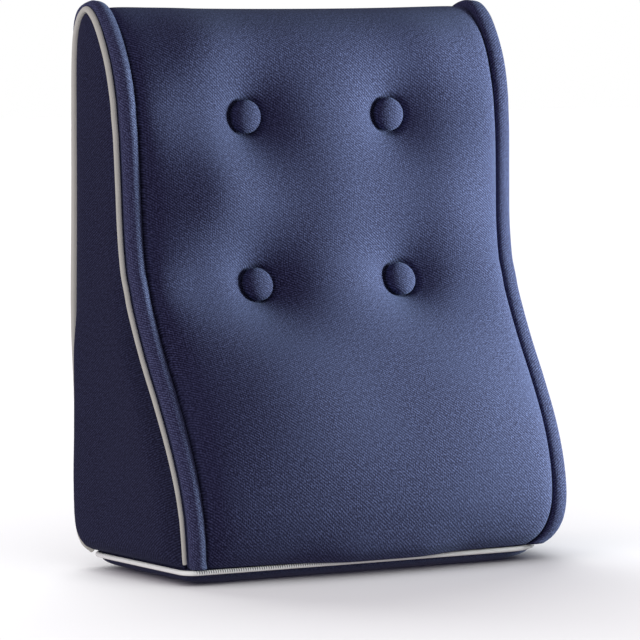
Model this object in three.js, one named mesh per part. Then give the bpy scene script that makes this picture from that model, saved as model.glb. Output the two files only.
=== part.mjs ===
import * as THREE from "three";

// Backrest pillow standing on its own base: a tufted panel that runs up the front, over the top and
// down the back, a padded roll along each side, cream piping, crowned side panels and a padded base.
// Millimetres, +Z up, front towards -Y, origin under the middle at the level that it stands on.

const BACKWARD = 6.4; // moves every piece, so that the middle of the pillow's depth is at the origin

// Side line, from the base up: where its front and back run, and how far from the middle of the
// pillow its side stands: at the front on either hand, and at the back.
const SIDE_ROWS = [
  { z: 15.3, front: -86.5, back: 84, left: 191.5, right: 179, rear: 192 },
  { z: 21, front: -88.3, back: 86.5, left: 193.8, right: 187, rear: 199 },
  { z: 31, front: -90.8, back: 89, left: 196, right: 193.5, rear: 203.5 },
  { z: 45, front: -92.3, back: 90.6, left: 197.9, right: 197.4, rear: 205 },
  { z: 62, front: -91.4, back: 91.6, left: 199.1, right: 199.2, rear: 205.2 },
  { z: 88, front: -85.3, back: 92.2, left: 200.3, right: 200.3, rear: 205 },
  { z: 120, front: -72.3, back: 92.3, left: 201.3, right: 201.3, rear: 204.2 },
  { z: 155, front: -53.2, back: 92, left: 201.8, right: 201.8, rear: 204.8 },
  { z: 195, front: -29.1, back: 91.2, left: 202.3, right: 202.3, rear: 206 },
  { z: 234, front: -9.2, back: 89.6, left: 202.6, right: 202.6, rear: 207.2 },
  { z: 250, front: -3.4, back: 88.8, left: 202.7, right: 202.7, rear: 207.5 },
  { z: 266, front: 2.4, back: 88.2, left: 202.8, right: 202.8, rear: 207.7 },
  { z: 300, front: 7.4, back: 87.2, left: 203.1, right: 203.1, rear: 207.9 },
  { z: 342, front: 9.3, back: 86.8, left: 203.9, right: 203.9, rear: 207.9 },
  { z: 383, front: 11, back: 86.8, left: 204.9, right: 204.9, rear: 207.9 },
  { z: 399, front: 12.7, back: 86.8, left: 205.4, right: 205.4, rear: 207.9 },
  { z: 415, front: 14.4, back: 86.8, left: 205.8, right: 205.8, rear: 207.9 },
  { z: 446, front: 21.8, back: 86.4, left: 206.8, right: 206.8, rear: 207.9 },
  { z: 470, front: 32.6, back: 84, left: 207.5, right: 207.5, rear: 207.9 },
  { z: 486, front: 43.3, back: 77.8, left: 207.9, right: 207.9, rear: 207.9 },
  { z: 494, front: 52.8, back: 69.8, left: 207.9, right: 207.9, rear: 207.9 },
  { z: 497, front: 61.5, back: 61.5, left: 207.9, right: 207.9, rear: 207.9 },
];

// The panel's cloth at these heights: how high it stands at its side seams over the side line, how
// far it rounds up beside them and how far it swells towards the middle, front and back.
const CLOTH_ROWS = [
  { z: 15.3, seam: 0, rounding: 5, swell: 2, backRounding: 1, backSwell: 0 },
  { z: 30, seam: 1, rounding: 11, swell: 4, backRounding: 4, backSwell: 1 },
  { z: 60, seam: 1, rounding: 16, swell: 6, backRounding: 6, backSwell: 3 },
  { z: 120, seam: 1, rounding: 18, swell: 9, backRounding: 7, backSwell: 5 },
  { z: 250, seam: 1, rounding: 18, swell: 10, backRounding: 7, backSwell: 6 },
  { z: 350, seam: 1, rounding: 18, swell: 10, backRounding: 7, backSwell: 5 },
  { z: 420, seam: 1, rounding: 17, swell: 7, backRounding: 6, backSwell: 3 },
  { z: 460, seam: -0.5, rounding: 12, swell: 3, backRounding: 5, backSwell: 1 },
  { z: 485, seam: -3, rounding: 7, swell: -1, backRounding: 4, backSwell: -1 },
  { z: 497, seam: -4.5, rounding: 5, swell: -5, backRounding: 5, backSwell: -5 },
];

// Side rolls at these heights: share of their full height, front and back.
const ROLL_ROWS = [
  { z: 15.3, front: 0.75, back: 0.6 },
  { z: 45, front: 1, back: 0.8 },
  { z: 420, front: 1, back: 0.8 },
  { z: 470, front: 0.75, back: 0.8 },
  { z: 497, front: 0.5, back: 0.5 },
];

// How far each side panel swells out beyond its rim at these heights.
const SIDE_SWELL_ROWS = [
  { z: 15.3, swell: 11 },
  { z: 31, swell: 15 },
  { z: 60, swell: 16 },
  { z: 120, swell: 15.5 },
  { z: 155, swell: 14 },
  { z: 195, swell: 11 },
  { z: 230, swell: 7 },
  { z: 270, swell: 4 },
  { z: 497, swell: 3 },
];

const PANEL_GAP = 0.8; // between a side panel and the filling, both curved
const FACET = 16.5; // longest facet along the side line
const ROLL_WIDTH = 19.8; // from the side of the pillow in to the panel's side seam
const ROLL_BED = 9.3; // depth under the side line of the bed that carries the roll
const PANEL_INNER = 4.1; // from the side of the pillow in to the side panel's inner face
const PANEL_OUTER = 1; // the same for the rim of its outer face
const PANEL_INSET = 6.8; // from the side line in to the side panel's rim
const BODY_END = PANEL_INNER + PANEL_GAP; // from the side of the pillow in to the filling's end
const PIPING_RADIUS = 2.9;
const PIPING_IN = 1.8; // centre of the side piping, in from the side of the pillow
const PIPING_DEPTH = 3.4; // and under the side line
const PANEL_SWELL_POWER = 6; // how squarely the side panels swell
const PIPING_SIDES = 8;

const BASE_PIPING_LEVEL = 12;
const BASE_LEFT = -192.4; // centre of the base piping
const BASE_RIGHT = 184;
const BASE_FRONT = -90;
const BASE_BACK = 85;
const BASE_ROWS = [
  { z: 15, inset: 3.3, rounder: 0 },
  { z: 9, inset: 3.4, rounder: 0 },
  { z: 5.4, inset: 7, rounder: 2 },
  { z: 2.5, inset: 14, rounder: 6 },
  { z: 0.7, inset: 22, rounder: 12 },
  { z: 0, inset: 28, rounder: 16 },
];
// Corner radii of the base piping.
const BASE_CORNERS = { frontRight: 44, backRight: 22, backLeft: 22, frontLeft: 14 };

const BUTTON_RADIUS = 15;
const BUTTON_GAP = 0.5; // under each button
const SEAT_RADIUS = 23; // flat place in the cloth under each button
const TUFT_REACH = 25; // how quickly the cloth rises out of a tuft
const TUFT_POWER = 1.25;
const ROUNDING_POWER = 14; // how squarely the cloth rounds up beside its side seams
const ROUNDING_SOFTNESS = 0.35;
const BUTTONS = [
  { name: "button_top_left", x: -74.5, z: 399, seat: -2.9, tilt: 6 },
  { name: "button_top_right", x: 74.5, z: 399, seat: -2.9, tilt: 6 },
  { name: "button_bottom_left", x: -74.5, z: 250, seat: 1.9, tilt: 20 },
  { name: "button_bottom_right", x: 74.5, z: 250, seat: 1.9, tilt: 20 },
];
// Shallow valleys that the tufts pull across the panel to its sides.
const VALLEYS = [
  { from: -74.5, side: -1, z: 402, width: 22, share: 0.5 },
  { from: -74.5, side: -1, z: 250, width: 24, share: 0.5 },
  { from: 74.5, side: 1, z: 400, width: 22, share: 0.2 },
  { from: 74.5, side: 1, z: 205, width: 34, share: 0.35 },
];

// Stations across the panel as shares of its half width, with one at each edge of a tuft's seat.
const ACROSS = [0, 0.1, 0.21, 0.318, 0.362, 0.405, 0.449, 0.492, 0.58, 0.67, 0.76, 0.84, 0.91, 0.96, 0.988, 1];

// Outline of a side roll: in from the side of the pillow, and out from the side line.
const ROLL_OUTLINE = [
  { inward: 5.4, outward: -8.6 },
  { inward: 5.4, outward: -3.4 },
  { inward: 4.4, outward: 0 },
  { inward: 3.8, outward: 3 },
  { inward: 4.9, outward: 6.6 },
  { inward: 7.6, outward: 9.5 },
  { inward: 11.6, outward: 10.9 },
  { inward: 15.2, outward: 9.6 },
  { inward: 17.8, outward: 6.4 },
  { inward: 18.7, outward: 2 },
  { inward: 18.7, outward: -8.6 },
];
const ROLL_ROOT = -3.4; // level in that outline above which a lower roll is squashed

const NAVY = 0x40466a;
const NAVY_SIDE = 0x3b4062;
const CREAM = 0xd9d6cb;

// Value of one column of a table of rows at height z, on a smooth curve through the rows.
function columnAt(rows, column, z) {
  const last = rows.length - 1;
  if (z <= rows[0].z) return rows[0][column];
  if (z >= rows[last].z) return rows[last][column];
  let i = 0;
  while (rows[i + 1].z < z) i += 1;
  const slopeAt = (k) => {
    const below = rows[Math.max(k - 1, 0)];
    const above = rows[Math.min(k + 1, last)];
    return (above[column] - below[column]) / (above.z - below.z);
  };
  const span = rows[i + 1].z - rows[i].z;
  const s = (z - rows[i].z) / span;
  const [s2, s3] = [s * s, s * s * s];
  return (
    (2 * s3 - 3 * s2 + 1) * rows[i][column] +
    (s3 - 2 * s2 + s) * span * slopeAt(i) +
    (3 * s2 - 2 * s3) * rows[i + 1][column] +
    (s3 - s2) * span * slopeAt(i + 1)
  );
}

// Distance from the middle of the pillow to its side on one hand, at a place seen from the side.
function sideAt(hand, y, z) {
  const front = columnAt(SIDE_ROWS, "front", z);
  const back = Math.max(columnAt(SIDE_ROWS, "back", z), front + 1);
  const share = THREE.MathUtils.smoothstep((y - front) / (back - front), 0, 1);
  const near = columnAt(SIDE_ROWS, hand < 0 ? "left" : "right", z);
  return near + (columnAt(SIDE_ROWS, "rear", z) - near) * share;
}

// Points of the side line, up the front, over the top and down the back, each with the direction
// that faces outwards there.
function sideLine() {
  const line = (column) =>
    new THREE.CatmullRomCurve3(SIDE_ROWS.map((row) => new THREE.Vector3(0, row[column], row.z)));
  const [front, back] = [line("front"), line("back")];
  const up = [];
  const down = [];
  const spans = SIDE_ROWS.length - 1;
  for (let i = 0; i < spans; i += 1) {
    const length = Math.max(
      front.getPoint(i / spans).distanceTo(front.getPoint((i + 1) / spans)),
      back.getPoint(i / spans).distanceTo(back.getPoint((i + 1) / spans)),
    );
    const steps = Math.ceil(length / FACET);
    for (let k = 0; k < steps; k += 1) {
      up.push(front.getPoint((i + k / steps) / spans));
      down.unshift(back.getPoint((i + k / steps) / spans));
    }
  }
  const points = [...up, front.getPoint(1), ...down];
  const last = points.length - 1;
  return points.map((point, i) => {
    const along = points[Math.min(i + 1, last)].clone().sub(points[Math.max(i - 1, 0)]);
    if (i === 0 || i === last) along.y = 0;
    along.normalize();
    return { y: point.y, z: point.z, outY: -along.z, outZ: along.y, front: i < up.length };
  });
}

const LINE = sideLine();

// Point that lies out from the side line by one distance and in from the pillow's side by another.
function edgePoint(spot, hand, inward, outward) {
  const y = spot.y + outward * spot.outY;
  const z = spot.z + outward * spot.outZ;
  return new THREE.Vector3(hand * (sideAt(hand, y, z) - inward), y, z);
}

// Half width of the panel between its side seams, on the hand that a share of it lies.
function halfPanel(share, y, z) {
  return sideAt(share, y, z) - ROLL_WIDTH;
}

// Height of the panel's cloth over the side line, with its tufts and valleys: share is the place
// across the panel as a share of its half width.
function clothAt(share, spot) {
  const [rounding, swell] = spot.front ? ["rounding", "swell"] : ["backRounding", "backSwell"];
  const away = Math.abs(share);
  const seam = columnAt(CLOTH_ROWS, "seam", spot.z) * (spot.front ? 1 : 0) - (spot.front ? 0 : 3);
  let rise =
    columnAt(CLOTH_ROWS, rounding, spot.z) * (1 - away ** ROUNDING_POWER) ** ROUNDING_SOFTNESS +
    columnAt(CLOTH_ROWS, swell, spot.z) * (1 - away ** 2);
  if (!spot.front) return seam + rise;
  const x = share * halfPanel(share, spot.y, spot.z);
  for (const valley of VALLEYS) {
    const across = THREE.MathUtils.smoothstep(valley.side * x, valley.side * valley.from, 150);
    const along = Math.exp(-(((spot.z - valley.z) / valley.width) ** 2));
    rise *= 1 - valley.share * across * along;
  }
  let untouched = 1;
  let pull = 0;
  let seat = 0;
  for (const button of BUTTONS) {
    const along = (spot.z - button.z) / Math.max(Math.abs(spot.outY), 0.5);
    const reach = Math.max(Math.hypot(x - button.x, along) - SEAT_RADIUS, 0);
    const held = Math.exp(-((reach / TUFT_REACH) ** TUFT_POWER));
    untouched *= 1 - held;
    pull += held;
    seat += held * button.seat;
  }
  return (seam + rise) * untouched + (seat / Math.max(pull, 1e-9)) * (1 - untouched);
}

// Closed body through rings of points; the first and last rings are closed flat, or the rings
// run round to the first one again.
function skin(rings, endless = false) {
  const count = rings[0].length;
  const positions = [];
  const add = (...corners) => corners.forEach((corner) => positions.push(corner.x, corner.y, corner.z));
  const last = endless ? rings.length : rings.length - 1;
  for (let k = 0; k < last; k += 1) {
    const [here, next] = [rings[k], rings[(k + 1) % rings.length]];
    for (let i = 0; i < count; i += 1) {
      const j = (i + 1) % count;
      add(here[i], next[i], next[j]);
      add(here[i], next[j], here[j]);
    }
  }
  const close = (ring, turned) => {
    for (let i = 0; i < count - 1 - i; i += 1) {
      const [low, high] = [i, count - 1 - i];
      const corners = [ring[low], ring[low + 1], ring[high - 1], ring[high]];
      const faces = [[corners[0], corners[2], corners[3]]];
      if (high - low > 2) faces.push([corners[0], corners[1], corners[2]]);
      faces.forEach((face) => add(...(turned ? face.reverse() : face)));
    }
  };
  if (!endless) {
    close(rings[0], false);
    close(rings[rings.length - 1], true);
  }
  const geometry = new THREE.BufferGeometry();
  geometry.setAttribute("position", new THREE.Float32BufferAttribute(positions, 3));
  if (volumeOf(positions) < 0) turnFaces(positions, geometry);
  geometry.computeVertexNormals();
  return geometry;
}

function volumeOf(positions) {
  const [a, b, c] = [new THREE.Vector3(), new THREE.Vector3(), new THREE.Vector3()];
  let volume = 0;
  for (let i = 0; i < positions.length; i += 9) {
    a.fromArray(positions, i);
    b.fromArray(positions, i + 3);
    c.fromArray(positions, i + 6);
    volume += a.dot(b.cross(c)) / 6;
  }
  return volume;
}

function turnFaces(positions, geometry) {
  const turned = [];
  for (let i = 0; i < positions.length; i += 9)
    turned.push(
      ...positions.slice(i, i + 3),
      ...positions.slice(i + 6, i + 9),
      ...positions.slice(i + 3, i + 6),
    );
  geometry.setAttribute("position", new THREE.Float32BufferAttribute(turned, 3));
}

// Filled cushion: rings of the side line across the pillow, stepping down at each end to a bed for
// the side roll.
function cushionBody() {
  const bed = (hand, inward) => LINE.map((spot) => edgePoint(spot, hand, inward, -ROLL_BED));
  const shares = [...ACROSS.slice(1).reverse().map((share) => -share), ...ACROSS];
  const cloth = shares.map((share) =>
    LINE.map((spot) => {
      const outward = clothAt(share, spot);
      const y = spot.y + outward * spot.outY;
      const z = spot.z + outward * spot.outZ;
      return new THREE.Vector3(share * halfPanel(share, y, z), y, z);
    }),
  );
  return skin([bed(-1, BODY_END), bed(-1, ROLL_WIDTH), ...cloth, bed(1, ROLL_WIDTH), bed(1, BODY_END)]);
}

function sideRoll(hand) {
  return skin(
    LINE.map((spot) => {
      const share = columnAt(ROLL_ROWS, spot.front ? "front" : "back", spot.z);
      return ROLL_OUTLINE.map((p) => {
        const raised = Math.max(p.outward - ROLL_ROOT, 0);
        return edgePoint(spot, hand, p.inward, p.outward - raised * (1 - share));
      });
    }),
  );
}

function circle(sides, radius, offset) {
  return Array.from({ length: sides }, (_, i) => {
    const angle = (2 * Math.PI * (i + offset)) / sides;
    return { across: radius * Math.cos(angle), out: radius * Math.sin(angle) };
  });
}

function sidePiping(hand) {
  const outline = circle(PIPING_SIDES, PIPING_RADIUS, 0);
  return skin(
    LINE.map((spot) =>
      outline.map((p) => edgePoint(spot, hand, PIPING_IN + p.across, p.out - PIPING_DEPTH)),
    ),
  );
}

// Side panel: nested copies of its rim that shrink towards its middle line and swell outwards.
const SHRINK = [1, 0.965, 0.91, 0.84, 0.72, 0.5, 0.25, 0.04];
const MIDDLE_LOW = 70;
const MIDDLE_HIGH = 440;

function sidePanel(hand) {
  const rim = LINE.map((spot) => ({
    y: spot.y - PANEL_INSET * spot.outY,
    z: Math.max(spot.z - PANEL_INSET * spot.outZ, LINE[0].z),
  }));
  const nested = (shrink, inwardAt) =>
    rim.map((spot, i) => {
      const across = rim[rim.length - 1 - i];
      const middleY = (spot.y + across.y) / 2;
      const middleZ = THREE.MathUtils.clamp(spot.z, MIDDLE_LOW, MIDDLE_HIGH);
      const y = middleY + (spot.y - middleY) * shrink;
      const z = middleZ + (spot.z - middleZ) * shrink;
      return new THREE.Vector3(hand * (sideAt(hand, y, z) - inwardAt(z)), y, z);
    });
  const outer = SHRINK.map((shrink) =>
    nested(shrink, (z) => PANEL_OUTER - columnAt(SIDE_SWELL_ROWS, "swell", z) * (1 - shrink ** PANEL_SWELL_POWER)),
  );
  return skin([nested(1, () => PANEL_INNER), ...outer]);
}

// Outline of the base in plan, moved in from the base piping, with its corners made rounder.
function plan(inset, rounder, steps) {
  const [left, right] = [BASE_LEFT + inset, BASE_RIGHT - inset];
  const [front, back] = [BASE_FRONT + inset, BASE_BACK - inset];
  const arc = (corner, sideX, endY, from) => {
    const radius = Math.max(BASE_CORNERS[corner] - inset, 8) + rounder;
    const x = sideX < 0 ? left + radius : right - radius;
    const y = endY < 0 ? front + radius : back - radius;
    return Array.from({ length: steps + 1 }, (_, i) => {
      const angle = THREE.MathUtils.degToRad(from + (90 * i) / steps);
      return new THREE.Vector2(x + radius * Math.cos(angle), y + radius * Math.sin(angle));
    });
  };
  return [
    ...arc("frontRight", 1, -1, -90),
    ...arc("backRight", 1, 1, 0),
    ...arc("backLeft", -1, 1, 90),
    ...arc("frontLeft", -1, -1, 180),
  ];
}

function basePiping() {
  const path = plan(0, 0, 7);
  const outline = circle(PIPING_SIDES, PIPING_RADIUS, 0.5);
  const count = path.length;
  const rings = path.map((point, i) => {
    const along = path[(i + 1) % count].clone().sub(path[(i + count - 1) % count]).normalize();
    return outline.map(
      (p) =>
        new THREE.Vector3(
          point.x + along.y * p.across,
          point.y - along.x * p.across,
          BASE_PIPING_LEVEL + p.out,
        ),
    );
  });
  return skin(rings, true);
}

function basePanel() {
  return skin(
    BASE_ROWS.map((row) =>
      plan(row.inset, row.rounder, 6).map((p) => new THREE.Vector3(p.x, p.y, row.z)),
    ),
  );
}

const BUTTON_PROFILE = [
  { radius: 0, height: 0 },
  { radius: 12, height: 0 },
  { radius: 14.2, height: 1.4 },
  { radius: BUTTON_RADIUS, height: 3.6 },
  { radius: 14.6, height: 5.8 },
  { radius: 12.6, height: 8.4 },
  { radius: 8.6, height: 10.4 },
  { radius: 4, height: 11.4 },
  { radius: 0, height: 11.6 },
];

function button() {
  const profile = BUTTON_PROFILE.map((p) => new THREE.Vector2(p.radius, p.height));
  return new THREE.LatheGeometry(profile, 20);
}

const pillow = new THREE.Group();
const pieces = new THREE.Group();
pieces.position.y = BACKWARD;
pillow.add(pieces);

function addPiece(name, geometry, color, roughness) {
  const mesh = new THREE.Mesh(
    geometry,
    new THREE.MeshStandardMaterial({ color, roughness, metalness: 0 }),
  );
  mesh.name = name;
  pieces.add(mesh);
  return mesh;
}

addPiece("cushion_body", cushionBody(), NAVY, 0.92);
for (const [side, hand] of [["left", -1], ["right", 1]]) {
  addPiece(`side_roll_${side}`, sideRoll(hand), NAVY, 0.92);
  addPiece(`side_piping_${side}`, sidePiping(hand), CREAM, 0.88);
  addPiece(`side_panel_${side}`, sidePanel(hand), NAVY_SIDE, 0.92);
}
addPiece("base_piping", basePiping(), CREAM, 0.88);
addPiece("base_panel", basePanel(), NAVY_SIDE, 0.92);
for (const place of BUTTONS) {
  const mesh = addPiece(place.name, button(), NAVY, 0.92);
  const tilt = THREE.MathUtils.degToRad(place.tilt);
  const out = new THREE.Vector3(0, -Math.cos(tilt), Math.sin(tilt));
  const seatY = columnAt(SIDE_ROWS, "front", place.z);
  mesh.position.set(place.x, seatY, place.z).addScaledVector(out, place.seat + BUTTON_GAP);
  mesh.quaternion.setFromUnitVectors(new THREE.Vector3(0, 1, 0), out);
}

export default pillow;
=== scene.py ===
from collections import namedtuple
from math import cos, pi, radians, sin

import bpy
import numpy as np
from mathutils import Euler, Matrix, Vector


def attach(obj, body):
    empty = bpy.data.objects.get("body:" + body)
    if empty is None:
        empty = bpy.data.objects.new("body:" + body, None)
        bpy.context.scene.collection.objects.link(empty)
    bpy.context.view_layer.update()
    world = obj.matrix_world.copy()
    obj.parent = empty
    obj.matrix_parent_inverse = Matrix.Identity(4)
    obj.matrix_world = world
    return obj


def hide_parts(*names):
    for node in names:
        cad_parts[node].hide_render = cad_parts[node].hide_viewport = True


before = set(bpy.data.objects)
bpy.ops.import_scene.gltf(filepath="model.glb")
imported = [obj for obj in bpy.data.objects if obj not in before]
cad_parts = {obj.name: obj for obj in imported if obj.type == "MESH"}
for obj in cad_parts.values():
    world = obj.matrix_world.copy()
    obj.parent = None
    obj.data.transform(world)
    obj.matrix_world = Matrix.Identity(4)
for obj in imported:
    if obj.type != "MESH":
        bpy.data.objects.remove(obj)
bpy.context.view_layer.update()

# A backrest pillow that stands on its own base. Sizes are in millimetres until a mesh is made.
MM = 0.001
BACKWARD = 6.4  # moves every piece so that the middle of the depth is at the origin

# The side line from the base up: its front and back, and how far the pillow's side stands from the
# middle: at the front on either hand, and at the rear.
SideRow = namedtuple("SideRow", "z front back left right rear")
SIDE_ROWS = [
    SideRow(15.3, -86.5, 84, 191.5, 179, 192),
    SideRow(21, -88.3, 86.5, 193.8, 187, 199),
    SideRow(31, -90.8, 89, 196, 193.5, 203.5),
    SideRow(45, -92.3, 90.6, 197.9, 197.4, 205),
    SideRow(62, -91.4, 91.6, 199.1, 199.2, 205.2),
    SideRow(88, -85.3, 92.2, 200.3, 200.3, 205),
    SideRow(120, -72.3, 92.3, 201.3, 201.3, 204.2),
    SideRow(155, -53.2, 92, 201.8, 201.8, 204.8),
    SideRow(195, -29.1, 91.2, 202.3, 202.3, 206),
    SideRow(234, -9.2, 89.6, 202.6, 202.6, 207.2),
    SideRow(250, -3.4, 88.8, 202.7, 202.7, 207.5),
    SideRow(266, 2.4, 88.2, 202.8, 202.8, 207.7),
    SideRow(300, 7.4, 87.2, 203.1, 203.1, 207.9),
    SideRow(342, 9.3, 86.8, 203.9, 203.9, 207.9),
    SideRow(383, 11, 86.8, 204.9, 204.9, 207.9),
    SideRow(399, 12.7, 86.8, 205.4, 205.4, 207.9),
    SideRow(415, 14.4, 86.8, 205.8, 205.8, 207.9),
    SideRow(446, 21.8, 86.4, 206.8, 206.8, 207.9),
    SideRow(470, 32.6, 84, 207.5, 207.5, 207.9),
    SideRow(486, 43.3, 77.8, 207.9, 207.9, 207.9),
    SideRow(494, 52.8, 69.8, 207.9, 207.9, 207.9),
    SideRow(497, 61.5, 61.5, 207.9, 207.9, 207.9),
]

# The panel's cloth by height: the side seams over the side line, how far the cloth turns up beside
# them, and how far it crowns from there to the middle.
ClothRow = namedtuple("ClothRow", "z seam turn crown")
FRONT_CLOTH = [
    ClothRow(15.3, 0, 4, 3),
    ClothRow(30, 1, 9, 8),
    ClothRow(60, 1, 14, 13),
    ClothRow(120, 1, 17, 18),
    ClothRow(180, 1, 17, 18),
    ClothRow(250, 1, 17, 14),
    ClothRow(330, 1, 17, 15),
    ClothRow(400, 1, 15, 8),
    ClothRow(440, 0, 12, 11),
    ClothRow(465, -1, 10, 7),
    ClothRow(485, -3, 6, 1),
    ClothRow(497, -4.5, 4, -4),
]
BACK_CLOTH = [
    ClothRow(15.3, -3, 1, 0),
    ClothRow(30, -3, 4, 1),
    ClothRow(60, -3, 6, 3),
    ClothRow(120, -3, 7, 5),
    ClothRow(250, -3, 7, 6),
    ClothRow(350, -3, 7, 5),
    ClothRow(420, -3, 6, 3),
    ClothRow(460, -3, 5, 1),
    ClothRow(485, -3.8, 4, -2),
    ClothRow(497, -4.5, 4, -3),
]
TURN_POWER = 14
TURN_SOFTNESS = 0.35
CROWN_POWER = 2.3
EDGE_SHARE = 0.35  # how far the cloth's columns crowd towards the side seams
HIDDEN_CLOTH = 190  # place across the cloth of what lies hidden under the rolls

# Share of the side rolls' full height, by height.
RollRow = namedtuple("RollRow", "z front back")
ROLL_ROWS = [
    RollRow(15.3, 0.75, 0.6),
    RollRow(45, 1, 0.8),
    RollRow(420, 1, 0.8),
    RollRow(462, 0.8, 1),
    RollRow(484, 0.62, 1.25),
    RollRow(497, 0.55, 0.6),
]
# How far the side panels swell, and how square that swelling is, by height.
SwellRow = namedtuple("SwellRow", "z swell square")
SIDE_SWELL = [
    SwellRow(15.3, 11, 9),
    SwellRow(31, 13.5, 10),
    SwellRow(60, 14, 10),
    SwellRow(120, 13.5, 10),
    SwellRow(155, 12.5, 9),
    SwellRow(195, 11, 8),
    SwellRow(230, 7, 5),
    SwellRow(270, 4, 4),
    SwellRow(497, 3, 4),
]

ROLL_WIDTH = 19.8  # how far in from the pillow's side the panel's cloth begins
ROLL_BED = -9.3  # height of the bed that a roll lies in, over the side line
ROLL_ROOT = -3.4  # height over the side line from which a roll rises
BODY_END = 4.9  # how far in from the pillow's side the cushion ends, under the rolls
PANEL_INNER = 4.1  # how far in the side panels' inner faces lie
PANEL_RIM = 1.8  # and the rims that they swell from
PANEL_INSET = 6.8  # how far under the side line the side panels begin
PANEL_LOW, PANEL_HIGH = 70, 440  # heights between which a side panel's middle line runs
SIDE_FOOT = 15.3  # height of the side panels' foot over the ground

# Outlines of the two side rolls: in from the pillow's side, and out from the side line.
RollPoint = namedtuple("RollPoint", "inward outward")
LEFT_ROLL = [
    RollPoint(5.4, -8.8),
    RollPoint(5.4, -3.4),
    RollPoint(4.4, 0),
    RollPoint(3.8, 3),
    RollPoint(4.9, 6.6),
    RollPoint(7.4, 9.2),
    RollPoint(11, 10.5),
    RollPoint(15, 9.4),
    RollPoint(18.2, 6.6),
    RollPoint(19.4, 3),
    RollPoint(19.4, -8.8),
]
RIGHT_ROLL = [
    RollPoint(5.4, -8.8),
    RollPoint(5.4, -3.4),
    RollPoint(4.4, 0),
    RollPoint(3.7, 3),
    RollPoint(3.7, 6),
    RollPoint(4.9, 7.8),
    RollPoint(7.8, 9),
    RollPoint(12, 9.8),
    RollPoint(16.4, 9.4),
    RollPoint(18.9, 7.6),
    RollPoint(19.4, 4),
    RollPoint(19.4, -8.8),
]

PIPING_INWARD = 1.8
FRONT_PIPING_END = 18.4  # height at which the front run of the side piping is cut off
BASE_PIPING_RADIUS = 2.2
# Puckers in the cover of the base piping, in its front run from the left corner: grooves in the cord, with
# painted shade in their folds.
PUCKER_PITCH = 2.3
PUCKER_DEPTH = 0.5
PUCKER_START, PUCKER_END = -183, -90
PUCKER_FADE = 4  # length over which they begin
PAINTED_SHADE_FADE, GROOVE_FADE = 50, 60  # lengths over which their painted shade and their grooves end
# Colour of the painted shade in the puckers' folds.
PUCKER_PAINTED_SHADE = (0.07, 0.07, 0.11, 1)
# The side piping by height: its radius and how deep under the side line it lies, front and back.
PipingRow = namedtuple("PipingRow", "z radius depth")
FRONT_PIPING = [
    PipingRow(15.3, 1.9, 3.4),
    PipingRow(80, 2.1, 3.5),
    PipingRow(300, 2.4, 3.5),
    PipingRow(460, 2.7, 3.5),
    PipingRow(497, 2.8, 3.4),
]
BACK_PIPING = [
    PipingRow(15.3, 3.4, 3.2),
    PipingRow(38, 2.3, 3.8),
    PipingRow(150, 2.3, 3.8),
    PipingRow(215, 3.4, 3.3),
    PipingRow(300, 3.4, 3.3),
    PipingRow(497, 2.8, 3.4),
]
BASE_PIPING_LEVEL = 12
BASE_LEFT, BASE_RIGHT, BASE_FRONT, BASE_BACK = -192.4, 184, -90, 85
Corner = namedtuple("Corner", "x y radius start")
BASE_CORNERS = [
    Corner(1, -1, 44, -90),
    Corner(1, 1, 22, 0),
    Corner(-1, 1, 22, 90),
    Corner(-1, -1, 14, 180),
]
BaseRow = namedtuple("BaseRow", "z inset rounder")
BASE_ROWS = [
    BaseRow(15, 3.3, 0),
    BaseRow(9, 3.4, 0),
    BaseRow(5.4, 7, 2),
    BaseRow(2.5, 14, 6),
    BaseRow(0.7, 22, 12),
    BaseRow(0, 28, 16),
]

Button = namedtuple("Button", "node x z seat tilt")
BUTTONS = [
    Button("button_top_left", -74.5, 399, -2.9, 6),
    Button("button_top_right", 74.5, 399, -2.9, 6),
    Button("button_bottom_left", -74.5, 250, 1.9, 20),
    Button("button_bottom_right", 74.5, 250, 1.9, 20),
]
BUTTON_GAP = 0.5
BUTTON_PLEATS, PLEAT_DEPTH = 17, 0.012
SEAT_RADIUS = 15.3
TUFT_REACH = 34
TUFT_POWER = 1.15

# Valleys that the tufts pull across the panel to its sides, deepest from VALLEY_END outwards.
Valley = namedtuple("Valley", "start hand z width share")
VALLEYS = [
    Valley(-74.5, -1, 402, 24, 1.0),
    Valley(-74.5, -1, 246, 24, 0.95),
    Valley(74.5, 1, 400, 22, 0.25),
    Valley(74.5, 1, 225, 30, 0.35),
]
VALLEY_END = 150

# Plump places in the filling between the tufts.
Lump = namedtuple("Lump", "x z wide high rise")
LUMPS = [
    Lump(-116, 452, 40, 30, 8),
    Lump(-114, 324, 44, 44, 9),
    Lump(-88, 150, 75, 62, 7),
    Lump(118, 452, 38, 30, 4),
    Lump(122, 322, 40, 42, 6),
    Lump(100, 150, 70, 60, 4),
    Lump(4, 322, 34, 44, 3),
    Lump(-106, 356, 30, 36, 7),
]
LUMP_EDGE_POWER = 8  # how late the plump places flatten towards the side seams
EDGE_OVERHANG = 1.2  # how far the filled panel bulges sideways over the side rolls
OVERHANG_LOW, OVERHANG_HIGH = 5, 11  # heights of the cloth between which that bulge grows
# How far the filled panel hangs over the middle of the base piping, down and forwards.
EDGE_DROOP, EDGE_FORWARD = 2.1, 3.4
# Where it hangs so, each from nothing to full: across from the left and right, forwards and down.
HANG_LEFT, HANG_RIGHT, HANG_FRONT, HANG_FOOT = (-100, -30), (90, 30), (-40, -70), (50, 16)
CUP_HEIGHT = 3.6  # how far the cloth stands up round the side of a button
CUP_WIDTH = 5.0

LINE_STEP = 2.4
CLOTH_COLUMNS = 170
BASE_CORNER_STEPS = 14

# The camera: its place, how far it looks down and to the right, and its lens.
EYE = (-2139.2, -3478.3, 517.2)
EYE_DOWN, EYE_TURN = 4.2027, 31.543
FOCAL_LENGTH = 258.54


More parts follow.
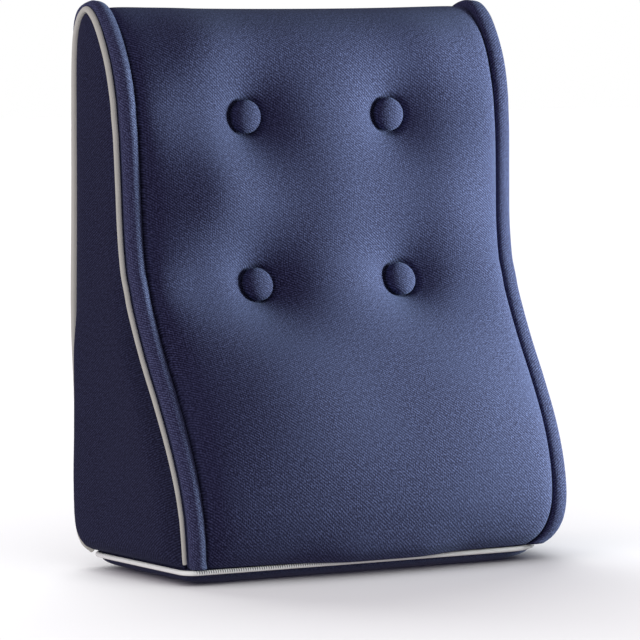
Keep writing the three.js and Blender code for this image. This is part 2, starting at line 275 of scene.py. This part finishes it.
def smooth_curve(knots, values, where):
    """Heights of a smooth curve through the knots at the places asked for, level past its ends."""
    knots, values = np.asarray(knots, float), np.asarray(values, float)
    where = np.clip(where, knots[0], knots[-1])
    before = np.concatenate([[0], np.arange(len(knots) - 1)])
    after = np.concatenate([np.arange(1, len(knots)), [len(knots) - 1]])
    slopes = (values[after] - values[before]) / (knots[after] - knots[before])
    i = np.clip(np.searchsorted(knots, where, side="right") - 1, 0, len(knots) - 2)
    gap = knots[i + 1] - knots[i]
    s = (where - knots[i]) / gap
    return (
        (2 * s**3 - 3 * s**2 + 1) * values[i]
        + (s**3 - 2 * s**2 + s) * gap * slopes[i]
        + (3 * s**2 - 2 * s**3) * values[i + 1]
        + (s**3 - s**2) * gap * slopes[i + 1]
    )


def by_height(rows, column, z):
    return smooth_curve([row.z for row in rows], [getattr(row, column) for row in rows], z)


def smoothstep(low, high, value):
    s = np.clip((value - low) / (high - low), 0, 1)
    return s * s * (3 - 2 * s)


def even_line(points, step):
    """Points at an even step along a smooth line through the given ones."""
    points = np.asarray(points, float)
    chord = np.concatenate([[0], np.cumsum(np.linalg.norm(np.diff(points, axis=0), axis=1))])
    fine = np.linspace(0, chord[-1], len(points) * 40)
    dense = np.stack([smooth_curve(chord, points[:, k], fine) for k in range(points.shape[1])], 1)
    run = np.concatenate([[0], np.cumsum(np.linalg.norm(np.diff(dense, axis=0), axis=1))])
    stops = np.linspace(0, run[-1], int(round(run[-1] / step)) + 1)
    return np.stack([np.interp(stops, run, dense[:, k]) for k in range(points.shape[1])], 1), stops


class SideLine:
    """The side line, up the front, over the top and down the back, with its outward direction."""

    def __init__(self, step):
        front = [(row.front, row.z) for row in SIDE_ROWS]
        back = [(row.back, row.z) for row in SIDE_ROWS[:-1]]
        line, self.run = even_line(front + back[::-1], step)
        self.y, self.z = line[:, 0], line[:, 1]
        along = np.gradient(line, axis=0)
        along[[0, -1], 0] = 0
        along /= np.linalg.norm(along, axis=1)[:, None]
        self.out_y, self.out_z = -along[:, 1], along[:, 0]
        self.top = int(np.argmax(self.z))
        self.front = np.arange(len(self.y)) <= self.top

    def column(self, front_rows, back_rows, name, back_name=None):
        return np.where(
            self.front,
            by_height(front_rows, name, self.z),
            by_height(back_rows, back_name or name, self.z),
        )

    def moved(self, outward):
        return self.y + outward * self.out_y, self.z + outward * self.out_z


def side_at(hand, y, z):
    """Distance from the middle to the pillow's side on one hand, at a place seen from the side."""
    front = by_height(SIDE_ROWS, "front", z)
    back = np.maximum(by_height(SIDE_ROWS, "back", z), front + 1)
    share = smoothstep(0, 1, (y - front) / (back - front))
    near = np.where(
        np.asarray(hand) < 0, by_height(SIDE_ROWS, "left", z), by_height(SIDE_ROWS, "right", z)
    )
    return near + (by_height(SIDE_ROWS, "rear", z) - near) * share


def mesh_piece(name, rings, cloth):
    """A closed piece through rings of points in millimetres; cloth holds each point's place on its
    cloth, in millimetres across and along."""
    rings = np.asarray(rings, float)
    count, points = rings.shape[:2]
    corners = (rings + np.array([0, BACKWARD, 0])).reshape(-1, 3) * MM
    faces = []
    for k in range(count - 1):
        here, there = k * points, (k + 1) * points
        for i in range(points):
            j = (i + 1) % points
            faces.append((here + i, here + j, there + j, there + i))
    for first, turned in ((0, True), ((count - 1) * points, False)):
        for i in range(points // 2):
            j = points - 1 - i
            loop = list(dict.fromkeys([first + i, first + i + 1, first + j - 1, first + j]))
            if len(loop) > 2:
                faces.append(tuple(loop[::-1] if turned else loop))
    mesh = bpy.data.meshes.new(name)
    mesh.from_pydata([tuple(p) for p in corners], [], faces)
    places = np.asarray(cloth, float).reshape(-1, 2) * MM
    layer = mesh.uv_layers.new(name="cloth")
    index = np.empty(len(mesh.loops), dtype=np.int32)
    mesh.loops.foreach_get("vertex_index", index)
    layer.data.foreach_set("uv", places[index].ravel())
    mesh.validate()
    piece = bpy.data.objects.new(name, mesh)
    bpy.context.scene.collection.objects.link(piece)
    face_outwards(piece)
    mesh.polygons.foreach_set("use_smooth", [True] * len(mesh.polygons))
    return piece


def face_outwards(piece):
    """Turns a closed piece's faces outwards."""
    mesh = piece.data
    places = np.empty(len(mesh.vertices) * 3)
    mesh.vertices.foreach_get("co", places)
    places = places.reshape(-1, 3)
    mesh.calc_loop_triangles()
    index = np.empty(len(mesh.loop_triangles) * 3, dtype=np.int32)
    mesh.loop_triangles.foreach_get("vertices", index)
    a, b, c = places[index.reshape(-1, 3)].transpose(1, 0, 2)
    if np.einsum("ij,ij->i", a, np.cross(b, c)).sum() < 0:
        mesh.flip_normals()


class Field:
    """A number, colour or direction worked out over a surface, with the arithmetic of numbers."""

    def __init__(self, recipe, socket):
        self.recipe, self.socket = recipe, socket

    def math(self, operation, *others):
        terms = dict(enumerate((self, *others)))
        return self.recipe.add("ShaderNodeMath", {"operation": operation}, terms)

    def __add__(self, other):
        return self.math("ADD", other)

    __radd__ = __add__

    def __mul__(self, other):
        return self.math("MULTIPLY", other)

    __rmul__ = __mul__

    def __sub__(self, other):
        return self.math("SUBTRACT", other)

    def __rsub__(self, other):
        return self.math("MULTIPLY_ADD", -1.0, other)

    def __truediv__(self, other):
        return self.math("DIVIDE", other)

    def wave(self):
        return (self * (2 * pi)).math("SINE")

    def between(self, low, high):
        """0 below low, 1 above high and smooth in between."""
        return self.recipe.add(
            "ShaderNodeMapRange",
            {"interpolation_type": "SMOOTHSTEP"},
            {"Value": self, "From Min": low, "From Max": high, "To Min": 0.0, "To Max": 1.0},
        )


class Recipe:
    """The nodes of one finish or one repeated form."""

    def __init__(self, tree):
        self.tree = tree

    def add(self, kind, settings=None, sockets=None, output=0):
        node = self.tree.nodes.new(kind)
        for name, value in (settings or {}).items():
            setattr(node, name, value)
        for name, value in (sockets or {}).items():
            if isinstance(value, Field):
                self.tree.links.new(value.socket, node.inputs[name])
            else:
                node.inputs[name].default_value = value
        return Field(self, node.outputs[output]) if node.outputs else None

    def blend(self, share, first, second):
        """A colour between two, by a share from 0 to 1."""
        kinds = {"data_type": "RGBA"}
        return self.add("ShaderNodeMix", kinds, {0: share, 6: first, 7: second}, output=2)

    def uneven(self, place, detail=2.0, seed=0.0):
        """Soft noise from 0 to 1 at a place."""
        kinds = {"noise_dimensions": "4D"}
        sockets = {"Vector": place, "W": seed, "Scale": 1.0, "Detail": detail}
        return self.add("ShaderNodeTexNoise", kinds, sockets)

    def place(self, x, y, z=0.0):
        return self.add("ShaderNodeCombineXYZ", {}, {"X": x, "Y": y, "Z": z})

    def split(self, vector):
        node = self.add("ShaderNodeSeparateXYZ", {}, {"Vector": vector}).socket.node
        return [Field(self, node.outputs[k]) for k in range(3)]


def new_material(name):
    material = bpy.data.materials.new(name)
    material.use_nodes = True
    material.node_tree.nodes.clear()
    return material, Recipe(material.node_tree)


Cloth = namedtuple("Cloth", "dark light bloom warp weft contrast relief sheen")


def woven_cloth(name, cloth):
    """Melange cloth: upright ribs under a diagonal twill, with pale flecks, slubs and a soft bloom."""
    material, nodes = new_material(name)
    across, along, _ = nodes.split(nodes.add("ShaderNodeUVMap", {"uv_map": "cloth"}))
    rib = across / (cloth.warp * MM)
    pick = along / (cloth.weft * MM)
    drift = nodes.uneven(nodes.place(rib * 0.07, pick * 0.07), seed=3.0) - 0.5
    ribs = (rib + drift * 1.5).wave()
    twill = (rib * 0.56 + pick * 0.67 + drift).wave()
    weave = ribs * 0.25 + twill * 0.75
    flecks = nodes.uneven(nodes.place(rib * 1.5, pick * 1.2), detail=1.0, seed=1.0) - 0.5
    slubs = nodes.uneven(nodes.place((rib - pick) * 0.3, (rib + pick) * 0.9), detail=1.0, seed=2.0) - 0.5
    shade = (weave * 0.18 + flecks * 1.1 + slubs * 0.5) * cloth.contrast + 0.5
    dye = nodes.blend(shade.between(0.25, 1.1), (*cloth.dark, 1), (*cloth.light, 1))
    cloudy = nodes.uneven(nodes.place(across * 14.0, along * 14.0), detail=3.0, seed=5.0)
    worn = nodes.blend(cloudy.between(0.35, 0.75) * 0.3, dye, (*cloth.bloom, 1))
    bump = nodes.add(
        "ShaderNodeBump",
        {},
        {"Height": weave * 0.22 + flecks + slubs * 0.5, "Strength": cloth.relief, "Distance": 0.4 * MM},
    )
    surface = nodes.add(
        "ShaderNodeBsdfPrincipled",
        {},
        {
            "Base Color": worn,
            "Roughness": shade * -0.1 + 0.95,
            "Normal": bump,
            "Sheen Weight": cloth.sheen,
            "Sheen Roughness": 0.5,
            "Sheen Tint": (0.45, 0.62, 1.0, 1.0),
            "Specular IOR Level": 0.15,
        },
    )
    nodes.add("ShaderNodeOutputMaterial", {}, {"Surface": surface})
    return material


def cord_cover(name, light, shadow, pitch, puckered=False):
    """Fine cream cloth cut on the bias round a cord, with painted shade in pucker folds on its upper side if
    asked.
    """
    material, nodes = new_material(name)
    around, along, _ = nodes.split(nodes.add("ShaderNodeUVMap", {"uv_map": "cloth"}))
    twill = (along / (pitch * MM) + around / (pitch * MM)).wave()
    cross = (along / (pitch * MM) - around / (pitch * MM)).wave()
    smudge = nodes.uneven(nodes.place(around * 60.0, along * 60.0), detail=3.0, seed=8.0).between(0.35, 0.75)
    dye = nodes.blend(twill * cross * 0.1 + smudge * 0.3, (*light, 1), (*shadow, 1))
    if puckered:
        x, y, z = nodes.split(nodes.add("ShaderNodeTexCoord", output="Object"))
        # Dark lines across the cord's upper front, in step with the puckers: painted shade in their folds.
        painted_fold_shade = (x / (PUCKER_PITCH * MM)).wave().between(-0.3, 0.6)
        upper = z.between((BASE_PIPING_LEVEL - 1.0) * MM, (BASE_PIPING_LEVEL + 0.2) * MM)
        begins = x.between((PUCKER_START - PUCKER_FADE) * MM, (PUCKER_START + PUCKER_FADE) * MM)
        ends = 1.0 - x.between(PUCKER_END * MM, (PUCKER_END + PAINTED_SHADE_FADE) * MM)
        in_front = 1.0 - y.between(-10 * MM, 10 * MM)
        # The cover's colour, darkened to the painted shade of the folds.
        dye = nodes.blend(painted_fold_shade * upper * begins * ends * in_front, dye, PUCKER_PAINTED_SHADE)
    bump = nodes.add(
        "ShaderNodeBump",
        {},
        {"Height": twill * cross + smudge, "Strength": 0.35, "Distance": 0.15 * MM},
    )
    surface = nodes.add(
        "ShaderNodeBsdfPrincipled",
        {},
        {
            "Base Color": dye,
            "Roughness": smudge * 0.08 + 0.8,
            "Normal": bump,
            "Sheen Weight": 0.1,
            "Specular IOR Level": 0.25,
        },
    )
    nodes.add("ShaderNodeOutputMaterial", {}, {"Surface": surface})
    return material


# The navy cloth in three mixes: for the panel, buttons and right roll; for the left roll, a lighter copy
# whose extra lightness is painted light, standing in for the key light that the panel shades off it; and
# for the side panels and base.
NAVY = woven_cloth(
    "navy_melange",
    Cloth(
        dark=(0.014, 0.0135, 0.045),
        light=(0.094, 0.11, 0.246),
        bloom=(0.044, 0.054, 0.128),
        warp=2.0,
        weft=1.6,
        contrast=1.45,
        relief=0.5,
        sheen=0.07,
    ),
)
# Lighter copy for the left roll: painted light in place of the key light that the panel's bulge keeps off
# it.
NAVY_PAINTED_LIGHT = woven_cloth(
    "navy_melange_painted_light",
    Cloth(
        dark=(0.028, 0.0285, 0.077),
        light=(0.167, 0.204, 0.395),
        bloom=(0.073, 0.09, 0.192),
        warp=2.0,
        weft=1.6,
        contrast=1.45,
        relief=0.5,
        sheen=0.12,
    ),
)
NAVY_SIDE = woven_cloth(
    "navy_melange_side",
    Cloth(
        dark=(0.0155, 0.0165, 0.042),
        light=(0.0625, 0.0765, 0.159),
        bloom=(0.0345, 0.041, 0.089),
        warp=2.0,
        weft=1.6,
        contrast=1.5,
        relief=0.35,
        sheen=0.04,
    ),
)
CREAM = cord_cover("cream_cord_cover", (0.86, 0.93, 0.8), (0.7, 0.76, 0.64), 1.1)
CREAM_PAINTED_PUCKER_SHADE = cord_cover("cord_cover_painted_pucker_shade", (0.84, 0.9, 0.86), (0.7, 0.75, 0.7), 1.1, puckered=True)


def cloth_height(share, line):
    """Height of the panel's cloth over the side line, at shares of its half width across."""
    away = np.abs(share)[:, None]
    seam = line.column(FRONT_CLOTH, BACK_CLOTH, "seam")[None]
    turn = line.column(FRONT_CLOTH, BACK_CLOTH, "turn")[None]
    crown = line.column(FRONT_CLOTH, BACK_CLOTH, "crown")[None]
    crowned = crown * (1 - away**CROWN_POWER)
    x = share[:, None] * (side_at(share[:, None], line.y[None], line.z[None]) - ROLL_WIDTH)
    front = line.front[None]
    for valley in VALLEYS:
        across = smoothstep(valley.hand * valley.start, VALLEY_END, valley.hand * x)
        along = np.exp(-(((line.z[None] - valley.z) / valley.width) ** 2))
        crowned = np.where(front, crowned * (1 - valley.share * across * along), crowned)
    rise = turn * (1 - away**TURN_POWER) ** TURN_SOFTNESS + crowned
    for lump in LUMPS:
        spread = ((x - lump.x) / lump.wide) ** 2 + ((line.z[None] - lump.z) / lump.high) ** 2
        rise = rise + np.where(front, lump.rise * np.exp(-spread) * (1 - away**LUMP_EDGE_POWER), 0)
    held_all, pull, seat = 1.0, 0.0, 0.0
    for button in BUTTONS:
        along = (line.z[None] - button.z) / np.maximum(np.abs(line.out_y[None]), 0.5)
        reach = np.maximum(np.hypot(x - button.x, along) - SEAT_RADIUS, 0)
        held = np.exp(-((reach / TUFT_REACH) ** TUFT_POWER))
        held_all = held_all * (1 - held)
        cup = CUP_HEIGHT * smoothstep(0, CUP_WIDTH, reach)
        pull = pull + held
        seat = seat + held * (button.seat + cup)
    tufted = (seam + rise) * held_all + seat / np.maximum(pull, 1e-9) * (1 - held_all)
    return np.where(front, tufted, seam + rise)


def front_cushion():
    """The filled panel: tufted front, over the top and down the back, with beds for the side rolls."""
    line = SideLine(LINE_STEP)
    turn = np.linspace(-pi / 2, pi / 2, CLOTH_COLUMNS)
    share = np.sin(turn) * EDGE_SHARE + turn / (pi / 2) * (1 - EDGE_SHARE)
    height = cloth_height(share, line)
    y = line.y[None] + height * line.out_y[None]
    z = line.z[None] + height * line.out_z[None]
    over = EDGE_OVERHANG * smoothstep(OVERHANG_LOW, OVERHANG_HIGH, height)
    x = share[:, None] * (side_at(share[:, None], y, z) - ROLL_WIDTH + over)
    hangs = smoothstep(*HANG_LEFT, x) * smoothstep(*HANG_RIGHT, x) * smoothstep(*HANG_FRONT, y)
    hangs = hangs * smoothstep(*HANG_FOOT, z)
    y = y - EDGE_FORWARD * hangs
    z = z - EDGE_DROOP * hangs
    rings = [np.stack([x[k], y[k], z[k]], 1) for k in range(len(share))]
    cloth = [np.stack([x[k], line.run], 1) for k in range(len(share))]
    hidden = [np.stack([np.full_like(line.run, hand * HIDDEN_CLOTH), line.run], 1) for hand in (-1, 1)]
    for inward in (ROLL_WIDTH, BODY_END):
        rings = [edge_ring(line, -1, inward), *rings, edge_ring(line, 1, inward)]
        cloth = [hidden[0], *cloth, hidden[1]]
    return mesh_piece("front_cushion", rings, cloth)


def edge_ring(line, hand, inward):
    """The bed under a side roll, at a distance in from the pillow's side."""
    y, z = line.moved(ROLL_BED)
    return np.stack([hand * (side_at(hand, y, z) - inward), y, z], 1)


def side_roll(name, hand):
    """Stuffed welt between the panel and the piping."""
    line = SideLine(2.2)
    outline, around = even_line(LEFT_ROLL if hand < 0 else RIGHT_ROLL, 1.2)
    share = line.column(ROLL_ROWS, ROLL_ROWS, "front", "back")
    rings, cloth = [], []
    for inward, outward, turn in zip(outline[:, 0], outline[:, 1], around):
        raised = max(outward - ROLL_ROOT, 0)
        out = outward - raised * (1 - share)
        y, z = line.moved(out)
        x = hand * (side_at(hand, y, z) - inward)
        rings.append(np.stack([x, y, z], 1))
        cloth.append(np.stack([np.full_like(line.run, turn), line.run], 1))
    rings, cloth = np.array(rings).transpose(1, 0, 2), np.array(cloth).transpose(1, 0, 2)
    return mesh_piece(name, rings, cloth)


def side_panel(name, hand):
    """Crowned panel inside the piping."""
    line = SideLine(4.0)
    y, z = line.moved(-PANEL_INSET)
    z = np.maximum(z, SIDE_FOOT)
    middle_y, middle_z = (y + y[::-1]) / 2, np.clip(z, PANEL_LOW, PANEL_HIGH)
    middle_z = (middle_z + middle_z[::-1]) / 2
    rings, cloth = [], []
    for shrink in [None, *np.cos(np.linspace(0, 0.97 * pi / 2, 40))]:
        keep = 1 if shrink is None else shrink
        ring_y = middle_y + (y - middle_y) * keep
        ring_z = middle_z + (z - middle_z) * keep
        square = by_height(SIDE_SWELL, "square", ring_z)
        swell = by_height(SIDE_SWELL, "swell", ring_z) * (1 - keep**square)
        inward = PANEL_INNER if shrink is None else PANEL_RIM - swell
        rings.append(np.stack([hand * (side_at(hand, ring_y, ring_z) - inward), ring_y, ring_z], 1))
        cloth.append(np.stack([ring_y, ring_z], 1))
    return mesh_piece(name, rings, cloth)


def base_plan(inset, rounder):
    """Outline of the base in plan, moved in from the base piping."""
    points = []
    for corner in BASE_CORNERS:
        radius = max(corner.radius - inset, 8) + rounder
        x = BASE_LEFT + inset + radius if corner.x < 0 else BASE_RIGHT - inset - radius
        y = BASE_FRONT + inset + radius if corner.y < 0 else BASE_BACK - inset - radius
        for i in range(BASE_CORNER_STEPS + 1):
            angle = radians(corner.start + 90 * i / BASE_CORNER_STEPS)
            points.append((x + radius * cos(angle), y + radius * sin(angle)))
    return np.array(points)


def base_panel():
    """Padded base, closed underneath."""
    rows = np.array([(row.z, row.inset, row.rounder) for row in BASE_ROWS])
    fine, _ = even_line(rows, 1.0)
    fine[:, 0] = np.maximum(fine[:, 0], 0)
    fine[-1, 0] = 0
    rings, cloth = [], []
    for z, inset, rounder in fine:
        plan = base_plan(inset, rounder)
        rings.append(np.column_stack([plan, np.full(len(plan), z)]))
        cloth.append(plan)
    return mesh_piece("padded_base", rings, cloth)


def covered_cord(name, path, radii, closed):
    """Piping along a path: Geometry Nodes sweep a round section along it, and the result is made a
    plain mesh whose cloth runs round and along the cord."""
    curve = bpy.data.curves.new(name + "_path", "CURVE")
    curve.dimensions = "3D"
    spline = curve.splines.new("POLY")
    spline.points.add(len(path) - 1)
    for point, place, radius in zip(spline.points, path, radii):
        point.co = (place[0] * MM, (place[1] + BACKWARD) * MM, place[2] * MM, 1)
        point.radius = radius
    spline.use_cyclic_u = closed
    holder = bpy.data.objects.new(name + "_path", curve)
    bpy.context.scene.collection.objects.link(holder)
    modifier = holder.modifiers.new("cover", "NODES")
    modifier.node_group = CORD_TREE
    sockets = [item for item in CORD_TREE.interface.items_tree if item.in_out == "INPUT"]
    inputs = {socket.name: socket.identifier for socket in sockets}
    modifier[inputs["Radius"]] = 1.0 * MM
    modifier[inputs["Sides"]] = 18
    graph = bpy.context.evaluated_depsgraph_get()
    mesh = bpy.data.meshes.new_from_object(holder.evaluated_get(graph), depsgraph=graph)
    bpy.data.objects.remove(holder)
    mesh.name = name
    piece = bpy.data.objects.new(name, mesh)
    bpy.context.scene.collection.objects.link(piece)
    face_outwards(piece)
    return piece


def measured(nodes, line, name):
    """A line that keeps each point's distance along it, and that distance."""
    distance = nodes.add("GeometryNodeSplineParameter", output=1)
    kept = nodes.add("GeometryNodeCaptureAttribute", {"domain": "POINT"}, {"Geometry": line}).socket.node
    kept.capture_items.new("FLOAT", name)
    nodes.tree.links.new(distance.socket, kept.inputs[name])
    return Field(nodes, kept.outputs["Geometry"]), Field(nodes, kept.outputs[name])


def cord_tree():
    """Sweeps a round section along a curve and stores the cloth's place round and along it."""
    tree = bpy.data.node_groups.new("covered_cord", "GeometryNodeTree")
    tree.interface.new_socket("Geometry", in_out="INPUT", socket_type="NodeSocketGeometry")
    tree.interface.new_socket("Radius", in_out="INPUT", socket_type="NodeSocketFloat")
    tree.interface.new_socket("Sides", in_out="INPUT", socket_type="NodeSocketInt")
    tree.interface.new_socket("Geometry", in_out="OUTPUT", socket_type="NodeSocketGeometry")
    nodes = Recipe(tree)
    given = nodes.add("NodeGroupInput").socket.node
    path, radius, sides = [Field(nodes, given.outputs[k]) for k in range(3)]
    ring = nodes.add("GeometryNodeCurvePrimitiveCircle", {}, {"Resolution": sides, "Radius": radius})
    path, run = measured(nodes, path, "run")
    ring, turn = measured(nodes, ring, "turn")
    swept = nodes.add(
        "GeometryNodeCurveToMesh",
        {},
        {
            "Scale": nodes.add("GeometryNodeInputRadius"),
            "Curve": path,
            "Profile Curve": ring,
            "Fill Caps": True,
        },
    )
    stored = nodes.add(
        "GeometryNodeStoreNamedAttribute",
        {"data_type": "FLOAT2", "domain": "CORNER"},
        {"Geometry": swept, "Name": "cloth", "Value": nodes.place(turn, run)},
    )
    smooth = nodes.add("GeometryNodeSetShadeSmooth", {}, {"Geometry": stored, "Shade Smooth": True})
    real = nodes.add("GeometryNodeRealizeInstances", {}, {"Geometry": smooth})
    covered = nodes.add("GeometryNodeSetMaterial", {}, {"Geometry": real, "Material": CREAM})
    nodes.add("NodeGroupOutput", {}, {"Geometry": covered})
    return tree


CORD_TREE = cord_tree()


def side_piping(name, hand):
    """Piping beside a roll, cut off just above the base in front."""
    line = SideLine(2.0)
    y, z = line.moved(-line.column(FRONT_PIPING, BACK_PIPING, "depth"))
    x = hand * (side_at(hand, y, z) - PIPING_INWARD)
    radii = line.column(FRONT_PIPING, BACK_PIPING, "radius")
    covered = (y > 0) | (z > FRONT_PIPING_END)
    return covered_cord(name, np.stack([x, y, z], 1)[covered], radii[covered], closed=False)


def base_piping():
    """Piping round the base, with grooves where its cover puckers."""
    plan = base_plan(0, 0)
    closed = np.vstack([plan, plan[:1]])
    run = np.concatenate([[0], np.cumsum(np.linalg.norm(np.diff(closed, axis=0), axis=1))])
    stops = np.linspace(0, run[-1], int(run[-1] / (PUCKER_PITCH / 4)), endpoint=False)
    path = np.stack([np.interp(stops, run, closed[:, k]) for k in range(2)], 1)
    in_front = smoothstep(BASE_FRONT + 6, BASE_FRONT + 2, path[:, 1])
    begins = smoothstep(PUCKER_START - PUCKER_FADE, PUCKER_START + PUCKER_FADE, path[:, 0])
    puckered = in_front * begins * smoothstep(PUCKER_END + GROOVE_FADE, PUCKER_END, path[:, 0])
    groove = (0.5 + 0.5 * np.cos(2 * pi * stops / PUCKER_PITCH)) ** 2
    radii = BASE_PIPING_RADIUS - PUCKER_DEPTH * groove * puckered
    path = np.column_stack([path, np.full(len(path), BASE_PIPING_LEVEL)])
    return covered_cord("base_cord", path, radii, closed=True)


ButtonRow = namedtuple("ButtonRow", "radius height")
BUTTON_OUTLINE = [
    ButtonRow(0.5, 0),
    ButtonRow(11.8, 0),
    ButtonRow(14.0, 1.2),
    ButtonRow(15.0, 3.6),
    ButtonRow(14.6, 5.9),
    ButtonRow(12.6, 8.4),
    ButtonRow(8.6, 10.4),
    ButtonRow(4, 11.4),
    ButtonRow(0.5, 11.6),
]


def covered_button(button, seed):
    """Domed button whose cloth gathers in small pleats under its rim."""
    outline, run = even_line(BUTTON_OUTLINE, 0.8)
    turns = np.linspace(0, 2 * pi, 72, endpoint=False)
    tilt = radians(button.tilt)
    out = np.array([0, -cos(tilt), sin(tilt)])
    up = np.array([0, sin(tilt), cos(tilt)])
    seat_y = float(by_height(SIDE_ROWS, "front", np.array([button.z]))[0])
    centre = np.array([button.x, seat_y, button.z]) + out * (button.seat + BUTTON_GAP)
    rings, cloth = [], []
    for (radius, height), place in zip(outline, run):
        gathered = smoothstep(6.5, 1.5, height) * smoothstep(6, 13, radius)
        pleats = np.sin(turns * BUTTON_PLEATS + seed + 1.3 * np.sin(turns * 3 + seed))
        pleat = 1 + gathered * PLEAT_DEPTH * pleats
        flat_x, flat_y = radius * pleat * np.cos(turns), radius * pleat * np.sin(turns)
        rings.append(centre + flat_x[:, None] * [1, 0, 0] + flat_y[:, None] * up + height * out)
        cloth.append(np.stack([flat_x + 40 * seed, flat_y + place * 0.2], 1))
    return mesh_piece(button.node + "_cover", rings, cloth)


def finish_piece(piece, node, material):
    """Gives a piece its cloth, hides the model's part that it stands for and hangs it under the root body.
    """
    piece.data.materials.clear()
    piece.data.materials.append(material)
    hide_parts(node)
    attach(piece, "root")


def pale_floor():
    """Wide matt floor that catches the shade round the pillow's foot."""
    mesh = bpy.data.meshes.new("floor")
    size = 12.0
    corners = [(-size, -size, 0), (size, -size, 0), (size, size, 0), (-size, size, 0)]
    mesh.from_pydata(corners, [], [(0, 1, 2, 3)])
    floor = bpy.data.objects.new("floor", mesh)
    bpy.context.scene.collection.objects.link(floor)
    material, nodes = new_material("floor_white")
    floor.visible_diffuse = floor.visible_glossy = False
    paint = nodes.add(
        "ShaderNodeBsdfPrincipled",
        {},
        {
            "Base Color": (0.8, 0.815, 0.815, 1),
            "Roughness": 1.0,
            "Specular IOR Level": 0.0,
        },
    )
    nodes.add("ShaderNodeOutputMaterial", {}, {"Surface": paint})
    mesh.materials.append(material)
    return floor


def only_for(light, name, things):
    """Keeps a light to some of the scene's things."""
    lit = bpy.data.collections.new(name)
    for thing in things:
        lit.objects.link(thing)
    light.light_linking.receiver_collection = lit


def soft_box(name, place, target, size, power, colour):
    """Square soft box that faces a target."""
    light = bpy.data.lights.new(name, "AREA")
    light.shape, light.size, light.energy, light.color = "SQUARE", size, power, colour
    lamp = bpy.data.objects.new(name, light)
    lamp.location = place
    lamp.rotation_euler = (Vector(target) - Vector(place)).to_track_quat("-Z", "Y").to_euler()
    bpy.context.scene.collection.objects.link(lamp)
    return lamp


def sky_wash(name, place, strength, spread, colour=(1, 1, 1)):
    """Wide soft light from far away, towards the origin."""
    light = bpy.data.lights.new(name, "SUN")
    light.energy, light.angle, light.color = strength, radians(spread), colour
    lamp = bpy.data.objects.new(name, light)
    lamp.rotation_euler = (-Vector(place)).to_track_quat("-Z", "Y").to_euler()
    bpy.context.scene.collection.objects.link(lamp)
    return lamp


def studio():
    """Key from the right, soft washes for the two pipings that it leaves out, and light for the floor."""
    floor = pale_floor()
    pillow = [thing for thing in bpy.context.scene.objects if thing.type == "MESH" and thing != floor]
    base_cord = [thing for thing in pillow if thing.name == "base_cord"]
    soft_cords = [thing for thing in pillow if thing.name in ("base_cord", "right_cord")]
    key = soft_box("key", (1.1, -0.42, 0.36), (0, 0, 0.27), 0.45, 52.5, (0.86, 1.0, 0.92))
    only_for(key, "pillow_only", [thing for thing in pillow if thing not in soft_cords])
    low_left = sky_wash("low_wash_left", (-1.0, -1.0, 0.4), 1.25, 40, (1.0, 0.98, 0.95))
    only_for(low_left, "base_cord_only", base_cord)
    low_right = sky_wash("low_wash_right", (1.0, -0.35, 0.4), 1.2, 40, (0.92, 0.94, 1.0))
    only_for(low_right, "right_cords_only", soft_cords)
    only_for(sky_wash("rear_wash", (0.25, 1.1, 0.72), 3.2, 60), "rear_wash_floor", [floor])
    only_for(sky_wash("top_wash", (-0.3, -0.5, 1.0), 1.75, 80), "top_wash_floor", [floor])
    world = bpy.data.worlds.new("studio")
    world.use_nodes = True
    world.node_tree.nodes.clear()
    nodes = Recipe(world.node_tree)
    seen = nodes.add("ShaderNodeLightPath", output="Is Camera Ray")
    from_left = -1.0 * nodes.split(nodes.add("ShaderNodeTexCoord", output="Generated"))[0]
    glow = from_left.between(0.0, 1.2) * 0.79 + 0.19
    fill = nodes.add("ShaderNodeBackground", {}, {"Color": (1.0, 0.87, 0.97, 1), "Strength": glow})
    white = nodes.add("ShaderNodeBackground", {}, {"Color": (1, 1, 1, 1), "Strength": 1.0})
    sky = nodes.add("ShaderNodeMixShader", {}, {0: seen, 1: fill, 2: white})
    nodes.add("ShaderNodeOutputWorld", {}, {"Surface": sky})
    bpy.context.scene.world = world
    bpy.context.scene.view_settings.view_transform = "Standard"


def camera():
    """Long lens from the front left, a little above the pillow."""
    lens = bpy.data.cameras.new("camera")
    lens.sensor_width, lens.lens = 36.0, FOCAL_LENGTH
    lens.clip_end = 50.0
    eye = bpy.data.objects.new("camera", lens)
    eye.location = Vector((EYE[0], EYE[1] + BACKWARD, EYE[2])) * MM
    eye.rotation_euler = Euler((radians(90 - EYE_DOWN), 0, radians(-EYE_TURN)))
    bpy.context.scene.collection.objects.link(eye)
    bpy.context.scene.camera = eye


finish_piece(front_cushion(), "cushion_body", NAVY)
for side, hand in (("left", -1), ("right", 1)):
    # The left roll takes the lighter navy, whose extra lightness is painted light.
    roll_cloth = NAVY_PAINTED_LIGHT if hand < 0 else NAVY
    finish_piece(side_roll(f"{side}_roll", hand), f"side_roll_{side}", roll_cloth)
    finish_piece(side_panel(f"{side}_panel", hand), f"side_panel_{side}", NAVY_SIDE)
    finish_piece(side_piping(f"{side}_cord", hand), f"side_piping_{side}", CREAM)
finish_piece(base_panel(), "base_panel", NAVY_SIDE)
finish_piece(base_piping(), "base_piping", CREAM_PAINTED_PUCKER_SHADE)
for seed, button in enumerate(BUTTONS):
    finish_piece(covered_button(button, seed), button.node, NAVY)

studio()
camera()
